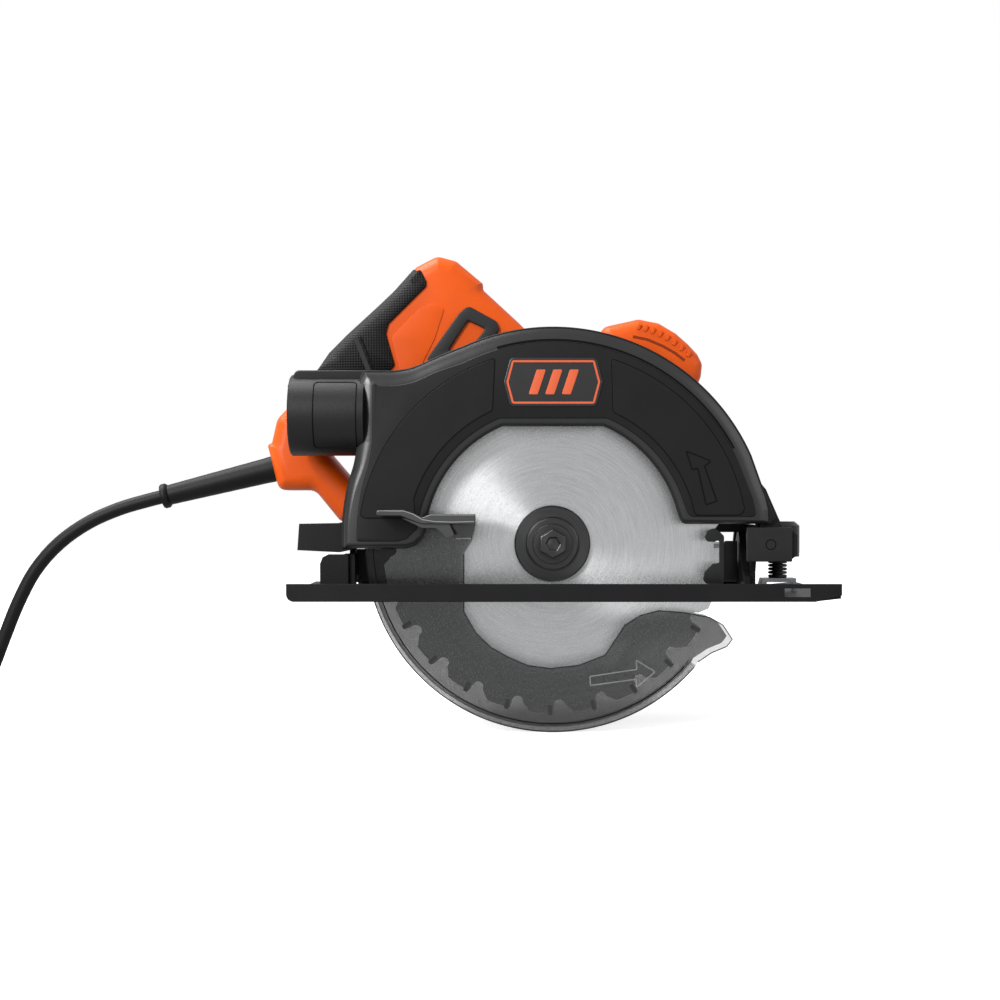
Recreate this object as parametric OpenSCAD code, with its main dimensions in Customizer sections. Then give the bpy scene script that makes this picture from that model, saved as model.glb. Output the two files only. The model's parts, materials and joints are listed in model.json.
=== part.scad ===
// Corded circular saw with a 190 mm blade.
// +X points to the front of the saw, +Y to the motor side, +Z up.
// The origin lies on the sole, below the arbor and in the middle of the shoe's width.

/* [Blade] */
// Diameter of the saw blade
blade_d = 190; // [180:1:190]
// Number of teeth
tooth_count = 24; // [12:4:40]
// Thickness of the blade's plate
blade_t = 1.6; // [1.2:0.1:2]

/* [Shoe] */
// Length of the shoe
shoe_l = 295; // [285:1:300]
// Width of the shoe
shoe_w = 140; // [136:1:150]
// Height of the turned-up rim
rim_h = 9.5; // [8:0.5:10]
// Thickness of the pressed sheet
sheet_t = 2.5; // [2:0.1:2.5]

/* [Motor] */
// Outer radius of the motor housing
motor_r = 43; // [43:0.5:45]

/* [Cord] */
// Diameter of the mains cord
cord_d = 8; // [7:0.5:8]

/* [Hidden] */
$fn = 96;

// Teeth of the spindle gear and of the armature's pinion, module 1
gear_teeth = 41;
pinion_teeth = 9;
// Planes across the saw, along Y
blade_y = -30;
guard_face_y = -48;
guard_back_y = -14;
handle_mid_y = 12;
// The arbor's height at full depth and the motor's, one gear pair above it
arbor_z = 30;
motor_z = arbor_z + (gear_teeth + pinion_teeth) / 2;
shoe_x0 = -142.5;
shoe_x1 = shoe_x0 + shoe_l;
guard_r = 119;
wall = 3;
lower_r = 103;
// The pivot of the depth setting and the arc that guides it
pivot_x = 121.5;
pivot_z = 29;
depth_arc_r = 185;
depth_rest_a = 5;
depth_travel = 30;
// The bevel axis runs along X through this point
bevel_z = 6;
bevel_arc_r = 40;
bevel_rest_a = 8;
// Places of the rivets in the shoe
rivets = [[118.5, 2], [118.5, 12], [-123, -25], [-123, -17]];
// The dust port's axis runs along X
port_z = 101;
port_r = 22.4;
port_bore_r = 19.5;
// The grip's frame: its middle, its direction and its inward side
grip_a = 225.6;
// The spindle lock's plane along the spindle
lock_y = 1.5;
fit = 0.05;
// The turn of the first tooth from the horizontal, degrees
tooth_phase = 2.6;

// A plate between two planes across the saw, drawn in X and Z
module slab(y0, y1) translate([0, y1, 0]) rotate([90, 0, 0]) linear_extrude(y1 - y0) children();
// A round bar along Y
module bar_y(y0, y1, r, x = 0, z = arbor_z) slab(y0, y1) translate([x, z]) circle(r);
// A tube along Y
module tube_y(y0, y1, r, bore, x = 0, z = arbor_z)
  slab(y0, y1) translate([x, z]) difference() { circle(r); circle(bore); }
// A plate between two planes along the saw, drawn in Y and Z
module sheet_x(x0, x1) translate([x0, 0, 0]) rotate([90, 0, 90]) linear_extrude(x1 - x0) children();
module box(x0, x1, y0, y1, z0, z1) translate([x0, y0, z0]) cube([x1 - x0, y1 - y0, z1 - z0]);
// Points of an arc
function arc(x, z, r, a0, a1, n = 12) =
  [for (i = [0:n]) let (a = a0 + (a1 - a0) * i / n) [x + r * cos(a), z + r * sin(a)]];

// A flat ring about a point
module ring_at(p, r, bore) translate(p) difference() {
  circle(r, $fn = 180);
  circle(bore, $fn = 180);
}

// ---- Shoe ----
module shoe_plate() color("#2b2b2c") difference() {
  union() {
    box(shoe_x0 + 4, shoe_x1 - 14, -shoe_w / 2, shoe_w / 2, 0, sheet_t);
    // The upturned edge at the blade's side
    slab(-shoe_w / 2, -shoe_w / 2 + sheet_t)
      polygon(concat([[shoe_x1, rim_h], [shoe_x0, rim_h]], arc(shoe_x0 + 4, 4, 4, 180, 270, 6),
        [[shoe_x1 - 14, 0], [shoe_x1, 3.4]]));
    // The rolled rear edge and the front ramp
    slab(-shoe_w / 2 + sheet_t, shoe_w / 2)
      polygon(concat([[shoe_x0 + sheet_t, 4], [shoe_x0, 4]], arc(shoe_x0 + 4, 4, 4, 180, 270, 6),
        [[shoe_x0 + 4, sheet_t]]));
    slab(-shoe_w / 2 + sheet_t, shoe_w / 2)
      polygon([[shoe_x1 - 14, 0], [shoe_x1, 1.6], [shoe_x1, 3.9], [shoe_x1 - 14, sheet_t]]);
  }
  // The slot that the blade and the lower guard pass through, also when tilted
  box(-114, 114, blade_y - 20, blade_y + 26, -1, sheet_t + 1);
  for (p = rivets) translate([p[0], p[1], -1]) cylinder(h = 5, r = 1.95);
  // The slot in the rim for a rip fence's bar
  box(122, 136.2, -shoe_w / 2 - 1, -shoe_w / 2 + sheet_t + 1, 2.6, 7.2);
}
module bevel_point(a) translate([blade_y + bevel_arc_r * cos(a), bevel_z + bevel_arc_r * sin(a)])
  children();
module front_quadrant() color("#232324") difference() {
  union() {
    sheet_x(105.7, 108.7) difference() {
      union() {
        translate([blade_y, bevel_z]) circle(5);
        intersection() {
          translate([blade_y, bevel_z]) circle(bevel_arc_r + 6);
          polygon([[-38, 3.5], [-4, 3.5], [-4, 2.5], [17, 2.5], [17, 24], [-5, 49], [-12.6, 49],
            [-12.6, 38], [-30, 16], [-38, 12]]);
        }
      }
      translate([blade_y, bevel_z]) circle(3 + fit);
      intersection() {
        translate([blade_y, bevel_z]) difference() {
          circle(bevel_arc_r + 3.2);
          circle(bevel_arc_r - 3.2);
        }
        translate([blade_y, bevel_z]) polygon([[0, 0], [90 * cos(6), 90 * sin(6)], [90, 90],
          [90 * cos(55), 90 * sin(55)]]);
      }
      for (a = [6, 55]) bevel_point(a) circle(3.2);
    }
    box(108.7, 124, -3.5, 17, sheet_t, 4);
  }
  for (p = rivets) translate([p[0], p[1], 0]) cylinder(h = 6, r = 1.95);
}
module rear_pivot_bracket() color("#232324") difference() {
  union() {
    sheet_x(-115.4, -112.4)
      polygon([[-38, 2.5], [-12, 2.5], [-12, 17], [-16, 21], [-20.5, 24.2], [-38, 24.2]]);
    box(-128, -115.4, -38, -12, sheet_t, 4);
    slab(-38, -35.5) polygon([[-115.4, 2.5], [-128, 2.5], [-128, 19], [-126.6, 22.6], [-123.4, 24.2],
      [-115.4, 24.2]]);
  }
  sheet_x(-116, -112) translate([blade_y, bevel_z]) circle(3 + fit);
  for (p = rivets) translate([p[0], p[1], 0]) cylinder(h = 6, r = 1.95);
}
module rivet(x, y) translate([x, y, 0]) {
  translate([0, 0, 0.3]) cylinder(h = 3.7, r = 1.95);
  translate([0, 0, 4]) cylinder(h = 1.4, r = 3.4);
}
module shoe_rivets() color("silver") for (p = rivets) rivet(p[0], p[1]);
// A pressed bridge that holds a rip fence's bar down
fence_x = 129.1;
fence_y = -6.3;
module fence_saddle() color("silver") difference() {
  union() {
    slab(fence_y - 9, fence_y + 2) polygon([[fence_x - 12, sheet_t], [fence_x - 9, sheet_t],
      [fence_x - 7.4, 7.8], [fence_x + 7.4, 7.8], [fence_x + 8, sheet_t], [fence_x + 9.3, sheet_t],
      [fence_x + 9, 10], [fence_x - 10, 10]]);
  }
  translate([fence_x, fence_y, 0]) cylinder(h = 12, r = 3 + fit);
}
module fence_clamp_screw() color("#262626") translate([fence_x, fence_y, 0]) {
  translate([0, 0, 7.4]) cylinder(h = 15, r = 3);
  translate([0, 0, 22]) cylinder(h = 17.5, r = 12.3);
  translate([0, 0, 39.5]) cylinder(h = 2.4, r1 = 12.3, r2 = 9.5);
}
module fence_clamp_spring() color("silver") translate([fence_x, fence_y, 0])
  for (i = [0:5]) translate([0, 0, 10.9 + i * 2])
    rotate_extrude() translate([4.6, 0]) circle(0.8, $fn = 16);

// ---- Tilting carriage ----
module front_yoke() color("#303031") {
  sheet_x(109, 112) difference() {
    union() {
      translate([blade_y, bevel_z]) circle(5.2);
      polygon([[-44, 20.5], [-44, 39], [-42, 40.5], [-12, 40.5], [-5, 46], [-1, 42], [16, 28], [31, 12],
        [31, 7.1], [4, 7.1], [-14, 14], [-24.8, 14], [-24.8, 6], [-35.2, 6], [-35.2, 14], [-38, 20.5]]);
    }
    bevel_point(bevel_rest_a) circle(3);
    translate([blade_y, bevel_z]) circle(3);
  }
  difference() {
    for (y0 = [-44, -24]) slab(y0, y0 + 3) difference() {
      polygon([[112, 20.5], [129, 20.5], [133.5, 24], [133.5, 35], [129, 39], [112, 39]]);
      translate([pivot_x, pivot_z]) circle(4);
    }
    box(111, 114, -30, -20, 12, 20);
  }
}
module rear_yoke() color("#303031") sheet_x(-112, -109) difference() {
  union() {
    polygon([[-35.2, 6], [-35.2, 24], [-33, 26.4], [-10.4, 26.4], [-9.9, 25], [31, 14], [31, 7.1],
      [-4, 7.1], [-14, 12], [-24.8, 12], [-24.8, 6]]);
    translate([blade_y, bevel_z]) circle(5.2);
  }
  translate([blade_y, bevel_z]) circle(3);
}
module tilt_rail() color("#303031") box(-112, 112, 19, 31, 4, 7.1);
// The depth guide: an arc about the depth pivot, slotted for the clamp bolt
function depth_at(a, r = depth_arc_r) = [pivot_x - r * cos(a), pivot_z + r * sin(a)];
module depth_bracket() color("#3a3a3b") slab(-12.6, -10.1) difference() {
  union() {
    intersection() {
      ring_at([pivot_x, pivot_z], depth_arc_r + 8, depth_arc_r - 8);
      polygon([[-75, 12], depth_at(-5, 120), depth_at(38, 120), depth_at(38, 230), depth_at(10, 230),
        [-75, 40]]);
    }
    polygon([[-109, 8], [-109, 26.4], [-97, 26.4], [-62, 40], [-52, 34], [-56, 14], [-66, 10]]);
  }
  intersection() {
    ring_at([pivot_x, pivot_z], depth_arc_r + 3.3, depth_arc_r - 3.3);
    polygon([[pivot_x, pivot_z], depth_at(depth_rest_a, 260), depth_at(20, 260), depth_at(36, 260)]);
  }
  for (a = [depth_rest_a, 36]) translate(depth_at(a)) circle(3.3);
}
module bevel_pins() color("silver") {
  sheet_x(105.2, 112) translate([blade_y, bevel_z]) circle(3);
  sheet_x(-115.4, -109) translate([blade_y, bevel_z]) circle(3);
}
module bevel_bolt() color("silver") {
  sheet_x(104.5, 112) bevel_point(bevel_rest_a) circle(3);
  sheet_x(112, 115.2) bevel_point(bevel_rest_a) circle(5.6, $fn = 6);
}
module bevel_knob() color("#262626") {
  sheet_x(97, 105.4) bevel_point(bevel_rest_a) difference() { circle(7.4); circle(3 + fit); }
  for (side = [-1, 1]) sheet_x(91, 97) bevel_point(bevel_rest_a)
    translate([side * 5 - 1.8, -3]) square([3.6, 6]);
}
module depth_pivot_pin() color("silver") {
  bar_y(-44, -21, 4, pivot_x, pivot_z);
  bar_y(-45.6, -44, 5.6, pivot_x, pivot_z);
  bar_y(-21, -19.5, 5.6, pivot_x, pivot_z);
}

// ---- Saw body: guard ----
clamp_p = depth_at(depth_rest_a);
module depth_clamp_bolt() color("silver") {
  bar_y(-16.8, -6.3, 3, clamp_p[0], clamp_p[1]);
  bar_y(guard_back_y, -12.8, 5.5, clamp_p[0], clamp_p[1]);
}
module depth_lever() color("#2a2a2a") difference() {
  union() {
    bar_y(-9.7, -6.4, 9, clamp_p[0], clamp_p[1]);
    slab(-9.7, -6.4) polygon([[-143, 40.6], [-121, 41], [-66, 53], [-60, 37], [-120, 24.4], [-144, 25.6]]);
  }
  bar_y(-12, -2, 3 + fit, clamp_p[0], clamp_p[1]);
}
// The outline of the guard's faces
module guard_outline(r) difference() {
  union() {
    translate([0, arbor_z]) circle(r, $fn = 180);
    polygon([[-105, port_z - 24], [-105, 125], [-86, 125], [-72, 126.5], [-60, 120], [-60, 60],
      [-103, 60]]);
  }
  translate([-200, -200]) square([400, 227.3]);
  translate([72, -60]) square([120, 100.7]);
}
module guard_cavity() difference() {
  translate([0, arbor_z]) circle(guard_r - wall, $fn = 180);
  translate([60, -150]) square([120, 150]);
}
module guard_window() {
  intersection() {
    translate([0, arbor_z]) circle(70, $fn = 180);
    translate([-100, -45]) square([200, 139]);
  }
  translate([-70, -60]) square([145, 96]);
  translate([-60, -60]) square([132, 101]);
}
module upper_guard() color("#2d2d2e") difference() {
  union() {
    difference() {
      union() {
        slab(guard_face_y, guard_back_y) guard_outline(guard_r);
        // The dust port with its flat top
        translate([-146.6, blade_y, port_z]) rotate([0, 90, 0]) cylinder(h = 62, r = port_r);
        box(-140, -90, blade_y - 9, blade_y + 9, port_z + 18, 125);
      }
      slab(guard_face_y + 2.5, guard_back_y - wall) guard_cavity();
      slab(guard_face_y - 1, guard_face_y + 4) guard_window();
      slab(guard_back_y - 4, guard_back_y + 1) translate([-70, -60]) square([142, 96]);
      translate([-150, blade_y, port_z]) rotate([0, 90, 0]) cylinder(h = 48, r = port_bore_r);
      translate([-104, blade_y, port_z]) rotate([0, 90, 0]) cylinder(h = 24, r = 13.9);
      // Room for the fence clamp's knob when the saw is raised
      box(108, 140, -21.5, -10, 0, 58);
    }
    // Ring around the gear case's nose
    tube_y(guard_back_y - wall, guard_back_y, 31, 18.95);
    // The lug on the depth pivot
    bar_y(-40.6, -24.4, 9, pivot_x, pivot_z);
    slab(-40.6, -24.4) difference() {
      polygon([[113.5, 29], [113.5, 41.5], [101, 41.5], [98, 62], [112, 66], [117, 60], [124, 44],
        [130.4, 30]]);
      translate([0, arbor_z]) circle(lower_r + 2.5, $fn = 180);
    }
  }
  bar_y(-18, -13, 18.95);
  bar_y(-50, -10, 4 + fit, pivot_x, pivot_z);
  bar_y(-18, -13, 3, clamp_p[0], clamp_p[1]);
}
module front_badge() color("#c95a3c") slab(guard_face_y - 1, guard_face_y)
  polygon([[-22, 110], [22, 110], [27, 120], [22, 130], [-22, 130], [-27, 120]]);
module case_outline(r, top) {
  translate([0, arbor_z]) circle(r);
  translate([0, motor_z]) circle(top);
  translate([-top, arbor_z]) square([2 * top, motor_z - arbor_z]);
}
module gear_case() color("#b9bcc0") difference() {
  union() {
    bar_y(-24.4, -14, 18.95);
    bar_y(guard_back_y, 5, 25);
    slab(guard_back_y, 5) case_outline(25, 14);
    slab(5, 9) union() {
      difference() {
        translate([0, motor_z]) circle(motor_r);
        translate([-60, -20]) square([120, 40]);
      }
      translate([0, arbor_z]) circle(25);
    }
  }
  bar_y(-13, -3, 16);
  bar_y(-30, 0, 8);
  slab(-3, 10) case_outline(22.4, 9);
  tube_y(-24.5, -23.1, 20, 18);
  translate([0, lock_y, 0]) sheet_x(20, 40) translate([0, arbor_z]) circle(2.2 + fit);
}
module retaining_ring() color("silver") tube_y(-24.4, -23.4, 20.6, 18);
module guard_return_spring() color("silver") for (i = [0, 1])
  translate([0, -22.6 + 1.1 * i, arbor_z]) rotate([90, 0, 0])
    rotate_extrude() translate([20.3, 0]) circle(0.5, $fn = 12);
module lower_side() {
  difference() {
    intersection() {
      translate([0, arbor_z]) circle(lower_r, $fn = 180);
      polygon([[-110, 46], [-42, 46], [-42, 41], [-48.8, 24.5], [-48.8, -7.2], [-30, -24], [28, -24],
        [39.5, -14.4], [57.8, -6.5], [85.9, -10.2], [99, -22], [95.3, -26.1], [87, -29.5], [80, -36],
        [80, -80], [-110, -80]]);
    }
    intersection() {
      translate([0, arbor_z]) circle(68.3, $fn = 180);
      translate([-42.5, -60]) square([81, 150]);
    }
  }
}
module lower_guard() color("#55565a", 0.7) {
  slab(-42, -39.5) lower_side();
  slab(-20.5, -18.2) difference() {
    union() {
      lower_side();
      translate([0, arbor_z]) circle(27);
      translate([-60, 18]) square([50, 24]);
    }
    translate([0, arbor_z]) circle(19 + 0.02);
  }
  slab(-39.5, -20.5) intersection() {
    difference() {
      translate([0, arbor_z]) circle(lower_r, $fn = 180);
      translate([0, arbor_z]) circle(lower_r - 2.5, $fn = 180);
    }
    lower_side();
  }
}
module guard_lever() color("#6a6a6c", 0.8) {
  slab(-64, -49) polygon([[-95, 48.6], [-81.4, 49], [-70.6, 44.6], [-42, 44.2], [-42, 40.8],
    [-70.6, 41.3], [-82, 45.6], [-95, 45.6]]);
  slab(-49, -42) polygon([[-60, 43.9], [-42, 43.9], [-44.5, 32.4], [-53, 32.4]]);
}

// ---- Blade group, on the spindle ----
module tip_outline() translate([blade_d / 2 - 5.6, -6.6]) square([5.6, 2.4]);
module blade_outline() {
  root = blade_d / 2 - 8;
  difference() {
    circle(blade_d / 2 - 1);
    for (i = [0:tooth_count - 1]) rotate(tooth_phase + i * 360 / tooth_count) {
      translate([root + 2.5, 0]) circle(3, $fn = 24);
      polygon([[root + 2.5, -3], [root + 12, -4.2], [root + 12, 14], [root + 2.5, 3]]);
      tip_outline();
    }
  }
}
module spun(y1) translate([0, y1, arbor_z]) rotate([90, 0, 0]) children();
module saw_blade() color("#b8babd") spun(blade_y + blade_t / 2) linear_extrude(blade_t) difference() {
  blade_outline();
  circle(8);
}
module carbide_tips() color("#8d8f93") spun(blade_y + 1.1) linear_extrude(2.2)
  for (i = [0:tooth_count - 1]) rotate(tooth_phase + i * 360 / tooth_count) tip_outline();
module outer_flange() color("#454545") difference() {
  union() {
    bar_y(-34, -30.8, 21);
    bar_y(-36, -34, 14);
  }
  bar_y(-37, -30, 5.05);
}
module inner_flange() color("#454545") tube_y(-29.2, -24.9, 20, 6);
module arbor_bolt() color("#3c3c3e") {
  bar_y(-37.6, -36, 11);
  slab(-43.4, -37.6) translate([0, arbor_z]) rotate(30) difference() {
    circle(8.4, $fn = 6);
    circle(3.5, $fn = 6);
  }
  bar_y(-36, -20, 3.9);
}
module spindle() color("silver") difference() {
  union() {
    bar_y(-24.9, 17, 6);
    bar_y(-29.2, -24.9, 6);
    bar_y(-30.8, -29.2, 7.95);
    bar_y(-34, -30.8, 5);
  }
  bar_y(-36, -19, 4);
}
// An involute-like tooth row: flanks from root to tip, thinned for backlash
function tooth_half(n, r) = 90 / n - 3.6 / n * 4 + (n / 2 - r) * 180 / 3.14159 * 0.36 / (n / 2);
module gear(n, h, phase) linear_extrude(h) polygon([for (i = [0:n - 1])
  each [for (s = [[-1, -1.2], [-1, 0], [-1, 0.95], [1, 0.95], [1, 0], [1, -1.2]])
    let (r = n / 2 + s[1], a = phase + i * 360 / n + s[0] * tooth_half(n, r)) [r * cos(a), r * sin(a)]]]);
module spindle_gear() color("#9c9ea2") translate([0, 8, arbor_z]) rotate([90, 0, 0]) difference() {
  gear(gear_teeth, 9, 90 + 180 / gear_teeth);
  translate([0, 0, -1]) cylinder(h = 12, r = 6);
  // Four pockets for the spindle lock
  for (a = [0:90:270]) rotate(a) translate([16.5, 0, 8 - lock_y])
    rotate([0, 90, 0]) cylinder(h = 8, r = 2.7);
}
module ball_bearing(y0, y1, r, bore, x, z) {
  tube_y(y0, y1, r, r - 2.2, x, z);
  tube_y(y0, y1, bore + 2.2, bore, x, z);
  tube_y(y0 + 2, y1 - 2, r - 2.2, bore + 2.2, x, z);
}
module spindle_bearings() color("silver") {
  ball_bearing(-13, -3, 16, 6 + 0.03, 0, arbor_z);
  ball_bearing(10, 17, 11, 6 + 0.03, 0, arbor_z);
}

// ---- Motor ----
module bearing_plate() color("#b9bcc0") difference() {
  slab(9, 19) union() {
    difference() {
      translate([0, motor_z]) circle(motor_r);
      translate([-60, -20]) square([120, 40]);
    }
    translate([0, arbor_z]) circle(25);
  }
  bar_y(10, 20, 11);
  bar_y(8, 11, 8);
  bar_y(11, 20, 13, 0, motor_z);
  bar_y(8, 12, 8, 0, motor_z);
}
module armature_shaft() color("silver") {
  bar_y(8, 107, 5, 0, motor_z);
  translate([0, 8, motor_z]) rotate([90, 0, 0]) gear(pinion_teeth, 9, 270);
}
module armature_core() color("#5d4a3a") difference() {
  union() {
    bar_y(42, 74, 22.5, 0, motor_z);
    bar_y(36, 80, 17, 0, motor_z);
  }
  bar_y(30, 90, 5, 0, motor_z);
}
module commutator() color("#b87333") tube_y(82, 95, 12, 5, 0, motor_z);
module cooling_fan() color("#333333") {
  tube_y(24, 34, 9, 5, 0, motor_z);
  tube_y(24, 26, 36, 9, 0, motor_z);
  for (i = [0:11]) translate([0, 34, motor_z]) rotate([90, i * 30, 0]) linear_extrude(8)
    translate([8, -0.8]) square([27, 1.6]);
}
module armature_bearings() color("silver") {
  ball_bearing(11, 19, 13, 5 + 0.03, 0, motor_z);
  ball_bearing(99, 107, 11, 5 + 0.03, 0, motor_z);
}
module motor_housing() color("#e8622a") difference() {
  bar_y(19, 98, motor_r, 0, motor_z);
  bar_y(18, 99, motor_r - wall, 0, motor_z);
  for (a = [60:15:120]) translate([0, 22, motor_z]) rotate([0, -a, 0]) box(30, 50, 3, 17, -2, 2);
  for (a = [90, 270]) translate([0, 88, motor_z]) rotate([0, a, 0]) cylinder(h = 60, r = 6);
}
module stator() color("#6c6e72") difference() {
  bar_y(42, 74, motor_r - wall, 0, motor_z);
  bar_y(41, 75, 23.1, 0, motor_z);
  for (a = [0, 180]) translate([0, 0, motor_z]) rotate([0, a, 0]) box(-8, 8, 41, 75, 33, 50);
}
module carbon_brushes() color("#2f2f2f") for (a = [0, 180]) translate([0, 88, motor_z]) rotate([0, a, 0])
  box(12.1, 30, -4, 4, -3, 3);
module brush_caps() color("#262626") for (a = [0, 180]) translate([0, 88, motor_z]) rotate([0, a + 90, 0]) {
  translate([0, 0, 30]) cylinder(h = 14, r = 5.95);
  translate([0, 0, 43.4]) cylinder(h = 1.6, r = 7);
}
module motor_cap() color("#262626") difference() {
  union() {
    tube_y(98, 113, motor_r, motor_r - wall, 0, motor_z);
    bar_y(112.5, 116, motor_r, 0, motor_z);
    tube_y(99, 113, 14, 11, 0, motor_z);
  }
  for (z = [-24:8:24]) box(-24, 24, 110, 118, motor_z + z - 1.6, motor_z + z + 1.6);
}
module housing_screws() color("silver") for (a = [30, 150, 210, 330])
  translate([0, 0, motor_z]) rotate([0, a, 0]) translate([motor_r - 6.2, 0, 0]) rotate([90, 0, 0])
    translate([0, 0, -118]) cylinder(h = 2, r = 3);

// ---- Handle ----
grip_top = [-77.5, 188];
function on_grip(u, n) =
  [grip_top[0] + u * cos(grip_a) + n * 0.7145, grip_top[1] + u * sin(grip_a) - n * 0.7];
module handle_hole() polygon([[-128, 82], [-84, 126], [-77, 129], [-70, 127], [-60, 116], [-58, 66],
  [-64, 58], [-104, 58], [-110, 61]]);
module handle_shape() difference() {
  polygon([[-75.4, 185.6], [-73, 190], [-65, 194.4], [-54.2, 191.5], [-38.8, 178.6], [-38.6, 175],
    [-17.9, 155.8], [8, 130], [14, 96], [-30, 50], [-50, 40], [-110, 38], [-120, 42.5],
    [-135.3, 59.7], [-156.2, 59.7], [-162.8, 85.8], [-160.3, 87], [-158.2, 101.4]]);
  handle_hole();
  translate([0, motor_z]) circle(motor_r);
}
module shell(y0, y1) difference() {
  slab(y0, y1) handle_shape();
  // The pocket for the trigger and its switch
  slab(4.5, 19.5) polygon([on_grip(52, 9), on_grip(96, 9), on_grip(96, 40), on_grip(52, 40)]);
  // The channel of the cord
  translate([-170, handle_mid_y, 69.8]) rotate([0, 90 - 14, 0]) cylinder(h = 44, r = 7.6);
  // The bore of the lock-off button
  translate([-112, 5, 141]) rotate([-90, 0, 0]) cylinder(h = 30, r = 5 + fit);
}
module handle_right() color("#e8622a") shell(-6, handle_mid_y);
module handle_left() color("#e8622a") shell(handle_mid_y, 30);
module handle_screws() color("silver") for (p = [[-60, 172], [-30, 150], [-145, 70], [-92, 48]])
  bar_y(30, 31.5, 3.2, p[0], p[1]);
module grip_cover() color("#232323") difference() {
  slab(-7.6, 31.6) polygon([[-77.5, 188], [-74.5, 186], [-70.4, 179], [-92, 154], [-93.3, 148.8],
    [-88.2, 130.6], [-129, 89], [-160.3, 103.5]]);
  slab(-6, 30) handle_shape();
  slab(-10, 40) handle_hole();
  slab(-10, 40) polygon([on_grip(50, 30), on_grip(110, 30), on_grip(110, 60), on_grip(50, 60)]);
  translate([-112, 28, 141]) rotate([-90, 0, 0]) cylinder(h = 8, r = 7);
}
module side_inlay() color("#2a2a2a") slab(-7.2, -6) difference() {
  polygon([[-71.9, 132.8], [-52, 163], [-47.2, 164.7], [-42, 163.6], [-31.2, 155.9], [-29, 151.6],
    [-40, 140], [-60, 128]]);
  polygon([[-45.3, 156.2], [-37.9, 151.3], [-40.9, 147.5], [-52, 134], [-60, 134]]);
}
module front_handle() color("#e8622a") slab(-4, 48) difference() {
  polygon([[16, 122], [30.7, 154], [50.6, 158.4], [62.3, 156.1], [72.2, 150.2], [79.3, 144], [84.8, 138.1],
    [87.7, 132.3], [86.9, 124.9], [80, 108], [62, 92], [36, 84], [20, 100]]);
  polygon([[38, 128], [46, 134], [56, 132], [64, 124], [62, 113], [54, 106], [44, 108]]);
  translate([0, motor_z]) circle(motor_r);
}
module trigger() color("#262626") slab(5, 19) polygon([on_grip(55, 21), on_grip(93, 21), on_grip(93, 36),
  on_grip(88, 45), on_grip(80, 43), on_grip(62, 44), on_grip(57, 47), on_grip(55, 36)]);
module switch_module() color("#1f3f6f") slab(5.5, 18.5) polygon([on_grip(56, 10), on_grip(92, 10),
  on_grip(92, 14.5), on_grip(56, 14.5)]);
module lock_off_button() color("#262626")
  translate([-112, 22, 141]) rotate([-90, 0, 0]) cylinder(h = 12, r = 5);
module spindle_lock() color("#262626") translate([0, lock_y, arbor_z]) rotate([0, 90, 0]) {
  translate([0, 0, 22.2]) cylinder(h = 8, r = 2.2);
  translate([0, 0, 29]) cylinder(h = 4.5, r = 3.2);
}

// ---- Cord ----
relief_tip = [-225, handle_mid_y, 56];
module strain_relief() color("#1d1d1e") translate([-161, handle_mid_y, 72]) rotate([0, 270 - 14, 0]) {
  translate([0, 0, -8]) cylinder(h = 8, r = 7.5);
  cylinder(h = 63, r1 = 7.5, r2 = 5.8);
  translate([0, 0, 63]) cylinder(h = 3, r = 7.2);
}
coil_r = 48;
coil_c = [-404, 40, -57];
route = [[-225, 12, 56], [-233, 12, 54], [-250, 12, 49], [-268, 12, 41], [-285, 12, 29], [-299, 12, 13],
  [-309, 12, -6], [-317, 12, -26], [-325, 12, -46], [-335, 11, -60], [-348, 7, -67], [-362, 0, -69],
  [-376, -8, -69], [-390, -14, -69], [-403, -15, -69]];
function unit(v) = v / norm(v);
function way(p, i) = unit(p[min(i + 1, len(p) - 1)] - p[max(i - 1, 0)]);
function smooth(p, t) = let (n = len(p) - 1, i = min(floor(t), n - 1), f = t - i, a = p[max(i - 1, 0)],
  b = p[i], c = p[i + 1], d = p[min(i + 2, n)])
  0.5 * (2 * b + (c - a) * f + (2 * a - 5 * b + 4 * c - d) * f * f + (3 * b - a - 3 * c + d) * f * f * f);
module sweep(p, r, sides) {
  n = len(p);
  points = [for (i = [0:n - 1]) let (t = way(p, i), s = unit(cross(t, [0, 1, 0.02])), w = cross(s, t))
    for (k = [0:sides - 1]) p[i] + r * (cos(k * 360 / sides) * s + sin(k * 360 / sides) * w)];
  polyhedron(points, concat([[for (k = [0:sides - 1]) k]],
    [for (i = [0:n - 2]) for (k = [0:sides - 1]) let (a = i * sides + k, b = i * sides + (k + 1) % sides)
      [a, a + sides, b + sides, b]],
    [[for (k = [sides - 1:-1:0]) (n - 1) * sides + k]]));
}
module cord_tube() color("#1d1d1e")
  sweep([for (t = [0:0.5:len(route) - 1]) smooth(route, t)], cord_d / 2, 10);
module cord_coil() color("#1d1d1e") translate(coil_c) rotate_extrude()
  translate([coil_r - 12, -16]) square([24, 24]);
module coil_tie() color("#262626") translate([coil_c[0] + coil_r, coil_c[1], coil_c[2]]) difference() {
  translate([-14, -4, -16]) cube([28, 8, 25.6]);
  translate([-12.4, -5, -17]) cube([24.5, 10, 25.1]);
}
// The plug lies on the coil, with the cord entering its tail at plug_at
plug_at = [-411, 74, -36];
module mains_plug() color("#1d1d1e") translate(plug_at) {
  translate([16, -17, -13]) cube([34, 34, 26]);
  rotate([0, 90, 0]) cylinder(h = 16, r1 = 5, r2 = 8);
}
module plug_pins() color("#c9a24b") translate(plug_at) for (y = [-9.5, 9.5])
  translate([50, y, 0]) rotate([0, 90, 0]) cylinder(h = 17, r = 2.4);

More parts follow.
